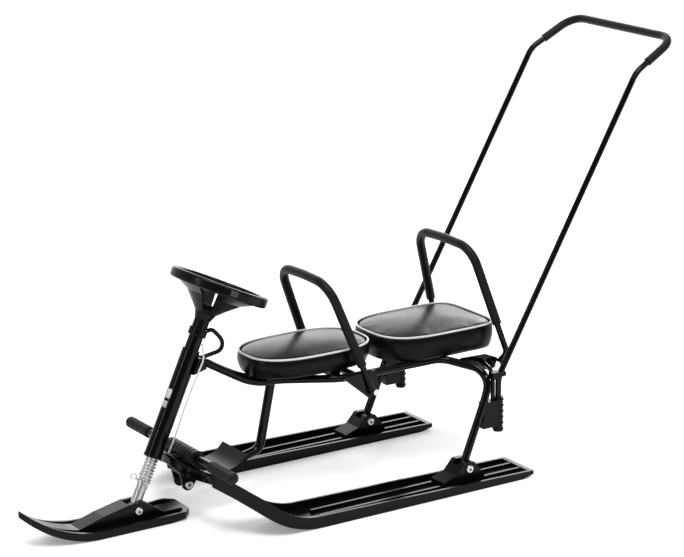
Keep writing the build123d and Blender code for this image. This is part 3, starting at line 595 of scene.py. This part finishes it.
def dome(name, seam):
    """A closed shallow dome over a seat's outline with a short wall under it."""
    spots, _ = seat_outline(name, DOME_INSET)
    middle = sum(spots, Vector((0, 0))) / len(spots)
    shape = bmesh.new()
    rings = [[shape.verts.new((*spot, seam - DOME_WALL)) for spot in spots]]
    for ring in range(DOME_RINGS):
        share = 1 - ring / DOME_RINGS
        height = seam + CROWN * (1 - share ** CROWN_POWER)
        rings.append([shape.verts.new((*middle.lerp(spot, share), height)) for spot in spots])
    bridge(shape, rings)
    shape.faces.new(rings[0][::-1])
    shape.faces.new(rings[-1])
    return mesh_of(name, shape)


print("crown over the seam", CROWN)

# %% [markdown]
# The dome is blown up as cloth with its rim pinned, so the cover swells and settles as
# vinyl over foam does. The pressure pushes from inside and gravity is off. A cap on the
# movement of each point keeps the piping free. The result is applied, so no simulation
# stays on the piece, and the same steps always give the same cushion.

# %% Cloth helper
CLOTH_FRAMES = 20
CLOTH_QUALITY = 6
CLOTH_PRESSURE = 4.0
CLOTH_TENSION = 12
MOST_MOVED = 0.005


def applied(piece):
    """Replace a piece's mesh by what its modifiers make of it."""
    depsgraph = bpy.context.evaluated_depsgraph_get()
    mesh = bpy.data.meshes.new_from_object(piece.evaluated_get(depsgraph))
    piece.modifiers.clear()
    piece.data = mesh
    return mesh


def blow_up(piece, seam):
    """Inflate a closed mesh as cloth, pinned below the seam, with a cap on the movement."""
    before = [vertex.co.copy() for vertex in piece.data.vertices]
    pinned = piece.vertex_groups.new(name="pinned")
    pinned.add([i for i, place in enumerate(before) if place.z < seam], 1.0, "REPLACE")
    cloth = piece.modifiers.new("cloth", "CLOTH")
    cloth.settings.quality = CLOTH_QUALITY
    cloth.settings.use_pressure = True
    cloth.settings.uniform_pressure_force = CLOTH_PRESSURE
    cloth.settings.vertex_group_mass = "pinned"
    cloth.settings.effector_weights.gravity = 0
    cloth.settings.tension_stiffness = CLOTH_TENSION
    cloth.point_cache.frame_start = 1
    cloth.point_cache.frame_end = CLOTH_FRAMES
    for number in range(1, CLOTH_FRAMES + 1):
        scene.frame_set(number)
    for vertex, start in zip(applied(piece).vertices, before):
        move = vertex.co - start
        if move.length > MOST_MOVED:
            vertex.co = start + move * (MOST_MOVED / move.length)
    scene.frame_set(1)


print("cloth frames", CLOTH_FRAMES)

# %% [markdown]
# Before the cloth runs, a voxel remesh turns the dome into even squares, which stretch
# alike in all directions. Afterwards the small steps that voxels leave are smoothed away
# and one subdivision rounds the rest.

# %% Cushions
VOXEL = 0.005


def cushion(name):
    """A cloth cushion in place of a plain pad; returns the height of its seam."""
    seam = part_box(f"{name}_pad")[1].z - SEAM_DROP
    piece = bpy.data.objects.new(f"{name}_cushion", dome(name, seam))
    scene.collection.objects.link(piece)
    remesh = piece.modifiers.new("remesh", "REMESH")
    remesh.mode = "VOXEL"
    remesh.voxel_size = VOXEL
    applied(piece)
    blow_up(piece, seam)
    mesh = piece.data
    mesh.materials.clear()
    mesh.materials.append(vinyl.material)
    for face in mesh.polygons:
        face.use_smooth = True
    smooth = piece.modifiers.new("smooth", "SMOOTH")
    smooth.iterations = 5
    smooth.factor = 0.5
    finer = piece.modifiers.new("finer", "SUBSURF")
    finer.levels = 1
    finer.render_levels = 1
    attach(piece, FRAME)
    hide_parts(f"{name}_pad")
    top = max(vertex.co.z for vertex in mesh.vertices)
    print(name, "points", len(mesh.vertices), "top", round(top, 4), "seam", round(seam, 4))
    return seam


seams = {name: cushion(name) for name in CORNER_POWER}

# %% [markdown]
# Under the seam the cover is a skirt that bulges over the foam and pulls in at the edge of
# the board, where it is folded under and stapled with small puckers. Below the rear board
# the fold fills the slit down to the frame tubes that carry the seat.

# %% Skirts
SKIRT_ROWS = 9
SKIRT_BULGE = 0.0045
SKIRT_TUCK = 0.003
PUCKERS = 9
PUCKER_DEPTH = 0.0007
COVER_THICKNESS = 0.0012
FOLD_WIDTH = 0.02
FOLD_UNDER_BOARD = {"seat_front": 0.0, "seat_rear": 0.0013}

for name, seam in seams.items():
    spots, normals = seat_outline(name, PIPING_INSET)
    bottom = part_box(f"{name}_board")[0].z - FOLD_UNDER_BOARD[name]
    shape = bmesh.new()
    rings = []
    for row in range(SKIRT_ROWS):
        share = row / (SKIRT_ROWS - 1)
        height = seam + (bottom - seam) * share
        bulge = SKIRT_BULGE * math.sin(math.pi * share ** 0.8) - SKIRT_TUCK * share ** 3
        ring = []
        for step, (spot, normal) in enumerate(zip(spots, normals)):
            pucker = PUCKER_DEPTH * math.sin(PUCKERS * 2 * math.pi * step / len(spots)) * share
            ring.append(shape.verts.new((*(spot + (bulge + pucker) * normal), height)))
        rings.append(ring)
    fold = [shape.verts.new((*(s - FOLD_WIDTH * n), bottom)) for s, n in zip(spots, normals)]
    bridge(shape, [fold] + rings[::-1])
    skirt = add_mesh(f"{name}_skirt", shape, vinyl, FRAME)
    cover = skirt.modifiers.new("thick", "SOLIDIFY")
    cover.thickness = COVER_THICKNESS
    cover.offset = -1
    print(name, "skirt from", round(seam, 4), "to", round(bottom, 4))

# %% [markdown]
# The board closes the underside and follows the same rounded outline, a little inside the
# skirt. A white piping is sewn in between the top panel and the skirt; it draws the
# outline of each seat.

# %% Boards and piping
BOARD_INSET = 0.006
BOARD_LIFT = 0.0002
PIPING_RADIUS = 0.0023
PIPING_PROUD = 0.0008

for name, seam in seams.items():
    spots, normals = seat_outline(name, PIPING_INSET)
    board_low, board_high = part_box(f"{name}_board")
    edge = [spot - BOARD_INSET * normal for spot, normal in zip(spots, normals)]
    shape = bmesh.new()
    rings = [
        [shape.verts.new((*spot, height)) for spot in edge]
        for height in (board_low.z + BOARD_LIFT, board_high.z)
    ]
    bridge(shape, rings)
    shape.faces.new(rings[0][::-1])
    shape.faces.new(rings[1])
    base = add_mesh(f"{name}_base", shape, board, FRAME, smooth=False)
    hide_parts(f"{name}_board")

    route = [(*(spot + PIPING_PROUD * normal), seam) for spot, normal in zip(spots, normals)]
    piping = round_line(f"{name}_piping", route, PIPING_RADIUS, kind="POLY", closed=True)
    place_piece(f"{name}_piping", piping, white_vinyl, FRAME)
print("piping radius", PIPING_RADIUS)

# %% [markdown]
# Plain stickers sit one above the other on the head tube, and a dull one on the rim of the
# wheel. They carry no words: each is a bare patch of film, a hair's breadth above the
# surface it is stuck to, bent round the tube.

# %% Bare stickers
FILM_STEPS = 16
FILM_THICKNESS = 0.0003


def film_finish(name, color, smoothest):
    """A plain plastic film whose roughness varies a little from its smoothest value."""
    finish = Finish(name, color, smoothest + 0.05)
    finish.set("Roughness", smoothest + 0.1 * finish.noise(40.0))
    return finish


def film(name, origin, radius, middle_turn, spread, heights, finish, body):
    """A patch of film round the steering axis; turns are degrees from the left side."""
    left = Vector((0, 1, 0))
    forward = left.cross(steer_axis).normalized()
    shape = bmesh.new()
    rows = []
    for height in heights:
        row = []
        for step in range(FILM_STEPS + 1):
            turn = math.radians(middle_turn + spread * (step / FILM_STEPS - 0.5))
            out = radius * (math.cos(turn) * left + math.sin(turn) * forward)
            row.append(shape.verts.new(origin + height * steer_axis + out))
        rows.append(row)
    low, high = rows
    for step in range(FILM_STEPS):
        shape.faces.new((low[step], low[step + 1], high[step + 1], high[step]))
    piece = add_mesh(name, shape, finish, body)
    piece.modifiers.new("film", "SOLIDIFY").thickness = FILM_THICKNESS


light_film = film_finish("light_film", (0.62, 0.62, 0.62), 0.25)
sand_film = film_finish("sand_film", (0.5, 0.46, 0.38), 0.25)
dull_film = film_finish("dull_film", (0.035, 0.035, 0.028), 0.3)
HEAD_TUBE_SKIN = 0.0198
RIM_SKIN = 0.1103
rim_centre = steer_point(0.512, -0.012)
film("head_tube_sticker_high", pivot, HEAD_TUBE_SKIN, 76, 38, (0.250, 0.271), light_film,
     FRAME)
film("head_tube_sticker_low", pivot, HEAD_TUBE_SKIN, 80, 38, (0.229, 0.244), sand_film,
     FRAME)
film("wheel_badge", rim_centre, RIM_SKIN, 14, 9, (-0.006, 0.007), dull_film,
     STEERING)
print("stickers 3")

# %% [markdown]
# The bracket under the hook is two cheeks welded to the head tube. A copy of its solid is
# cut off by a plane inside the tube, which hides the edge, and the cut is closed.

# %% Bracket cheeks
CUT_HEIGHT = 0.3
CUT_BEHIND_AXIS = 0.011

shape = bmesh.new()
shape.from_mesh(nodes["head_bracket"].data)
bmesh.ops.bisect_plane(
    shape, geom=shape.verts[:] + shape.edges[:] + shape.faces[:],
    plane_co=steer_point(CUT_HEIGHT, -CUT_BEHIND_AXIS), plane_no=steer_forward,
    clear_outer=True,
)
bmesh.ops.holes_fill(shape, edges=[edge for edge in shape.edges if edge.is_boundary])
open_edges = sum(1 for edge in shape.edges if edge.is_boundary)
cheeks = add_mesh(
    "head_bracket_cheeks", shape, black_paint, FRAME, smooth=False,
)
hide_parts("head_bracket")
print("cheeks faces", len(cheeks.data.polygons), "open edges", open_edges)

# %% [markdown]
# Bolt heads are domed with a hexagon socket. The sockets are dark because no light gets
# in, so a small dark six-sided plug, sunk nearly flush, reads as the recess.

# %% Hexagon sockets of the bolts
SOCKET_RADIUS = 0.0034
SOCKET_PROFILE = [(SOCKET_RADIUS, -0.001), (SOCKET_RADIUS, 0.0001)]
HEXAGON = 6
BOLTS = {
    "ski_bolt_left": FRAME, "ski_bolt_right": FRAME,
    "front_ski_bolt": FRONT_SKI, "tow_bolt": FRAME,
}

socket_dark = Finish("socket_shadow", (0.02, 0.02, 0.02), 0.5)
socket_dark.set("Roughness", 0.5 + 0.1 * socket_dark.noise(80.0))
for node, body in BOLTS.items():
    low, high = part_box(node)
    middle = (low + high) / 2
    for side, outward, end in (("left", 1, high.y), ("right", -1, low.y)):
        turned(f"{node}_socket_{side}", SOCKET_PROFILE, (middle.x, end, middle.z),
               (0, outward, 0), socket_dark, body, HEXAGON)
print("sockets", 2 * len(BOLTS))

# %% [markdown]
# The floor is plain and pale. Under even light it would fade to grey in the distance, so
# for the camera alone it glows a little, which keeps it white and leaves a soft shadow.

# %% Floor
FLOOR_HALF = 9
FLOOR_DROP = 0.0006
FLOOR_GLOW = 0.25

corners = [(FLOOR_HALF * x, FLOOR_HALF * y, 0) for x, y in ((-1, -1), (1, -1), (1, 1), (-1, 1))]
floor_mesh = bpy.data.meshes.new("floor")
floor_mesh.from_pydata(corners, [], [(0, 1, 2, 3)])
floor = bpy.data.objects.new("floor", floor_mesh)
floor.location.z = -FLOOR_DROP
scene.collection.objects.link(floor)
pale_floor = Finish("pale_floor", (0.95, 0.95, 0.95), 0.9, shine=0.0)
pale_floor.set("Emission Color", (1, 1, 1, 1))
to_camera = pale_floor.node("ShaderNodeLightPath", output="Is Camera Ray")
pale_floor.set("Emission Strength", FLOOR_GLOW * to_camera)
floor_mesh.materials.append(pale_floor.material)
print("floor half width", FLOOR_HALF)

# %% [markdown]
# The sky of the studio is brighter towards its far wall and dim behind the viewer: black
# gloss tubes then show dark fronts with pale edges. How bright a direction is follows
# from its dot product with the direction of that wall. The camera itself sees plain white.

# %% Sky
FAR_WALL = Vector((-0.52, -0.81, 0.27))
DIMMEST = 0.1
RISE = 1.0
WHITE = (1, 1, 1, 1)

world = bpy.data.worlds.new("studio")
scene.world = world
world.use_nodes = True
tree = world.node_tree
direction = make_node(tree, "ShaderNodeTexCoord", output="Generated")
facing = make_node(
    tree, "ShaderNodeVectorMath", {"operation": "DOT_PRODUCT"}, {0: direction, 1: FAR_WALL},
    "Value",
)
bright = 0.5 + 0.5 * facing
sky_inputs = {"Color": WHITE, "Strength": DIMMEST + RISE * bright * bright}
tree.nodes.remove(tree.nodes["Background"])
sky = make_node(tree, "ShaderNodeBackground", None, sky_inputs)
white = make_node(tree, "ShaderNodeBackground", None, {"Color": WHITE, "Strength": 1.0})
seen = make_node(tree, "ShaderNodeLightPath", output="Is Camera Ray")
choice = make_node(tree, "ShaderNodeMixShader", None, {"Fac": seen, 1: sky, 2: white})
feed(tree, tree.nodes["World Output"].inputs["Surface"], choice)
print("sky from", DIMMEST, "to", DIMMEST + RISE)

# %% [markdown]
# Three narrow strip lamps draw long highlights on the tubes, and a wide, faintly blue
# window low on the far side lays a sheen on the seats. A broad sun from overhead gives the
# plain level of light. The Standard view keeps colours as they are written.

# %% Lamps
SUN_STRENGTH = 1.35
SUN_WIDTH = math.radians(24)
DAYLIGHT = (0.93, 0.96, 1.0)


def lamp(name, size, power, place, aim, color=(1, 1, 1)):
    """A rectangular soft lamp that looks at a point and isn't seen by the camera."""
    data = bpy.data.lights.new(name, "AREA")
    data.shape = "RECTANGLE"
    data.color = color
    data.size, data.size_y = size
    data.energy = power
    light = bpy.data.objects.new(name, data)
    light.location = place
    light.rotation_mode = "QUATERNION"
    light.rotation_quaternion = (Vector(aim) - Vector(place)).to_track_quat("-Z", "Y")
    light.visible_camera = False
    scene.collection.objects.link(light)


lamp("long_strip", (3.0, 0.14), 26, (-0.4, 2.4, 2.6), (0, 0, 0.3))
lamp("front_strip", (0.14, 2.4), 18, (3.4, 0.4, 1.8), (0.2, 0, 0.3))
lamp("rear_strip", (0.14, 2.4), 16, (-2.4, -2.0, 2.2), (0, 0, 0.4))
lamp("far_window", (4.4, 1.5), 52, (-1.9, -2.9, 1.35), (0, 0, 0.3), DAYLIGHT)
sun_data = bpy.data.lights.new("overhead", "SUN")
sun_data.energy = SUN_STRENGTH
sun_data.angle = SUN_WIDTH
sun = bpy.data.objects.new("overhead", sun_data)
sun.rotation_euler = (math.radians(-18), math.radians(12), 0)
scene.collection.objects.link(sun)
scene.view_settings.view_transform = "Standard"
print("lamps 5")
